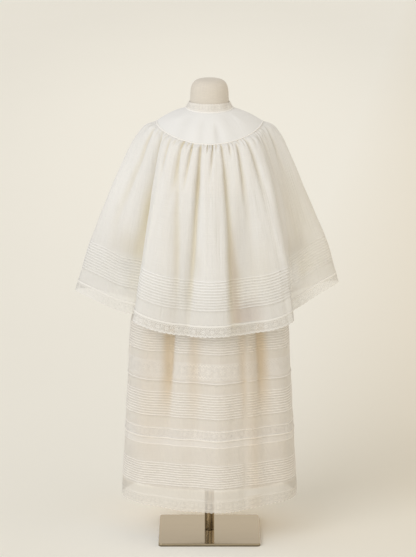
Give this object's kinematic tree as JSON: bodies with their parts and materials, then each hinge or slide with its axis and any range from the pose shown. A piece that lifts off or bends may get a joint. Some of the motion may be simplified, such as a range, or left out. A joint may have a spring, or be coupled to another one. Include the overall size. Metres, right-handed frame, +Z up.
{
  "type": "caped christening gown on dress form stand",
  "caption": "White christening gown with a gathered shoulder cape, tucked and lace-banded skirt, worn open by a limbless dress form on a post and square plate.",
  "frame": {"origin": "centre of the base plate's underside", "axes": "+Z up along the post; -Y the gown's back, the side with the closed cape; +Y its front opening; +X the right of someone who looks at the back"},
  "size_m": [0.516, 0.3032, 0.911],
  "materials": {
    "white_lawn": "matt, semi-sheer",
    "white_lace": "matt openwork",
    "form_linen": "matt",
    "brushed_steel": "brushed"
  },
  "bodies": {
    "root": {"base_plate": "brushed_steel", "post": "brushed_steel", "dress_form": "form_linen", "lace_collar": "white_lace", "yoke": "white_lawn", "cape": "white_lawn", "cape_lace_edging": "white_lace", "bodice": "white_lawn", "sleeve_left": "white_lawn", "sleeve_right": "white_lawn", "skirt_hem_lace": "white_lace", "skirt_lower_panel": "white_lawn", "skirt_lower_insertion": "white_lace", "skirt_middle_panel": "white_lawn", "skirt_upper_insertion": "white_lace", "skirt_upper_panel": "white_lawn", "slip": "white_lawn"}
  },
  "joints": []
}
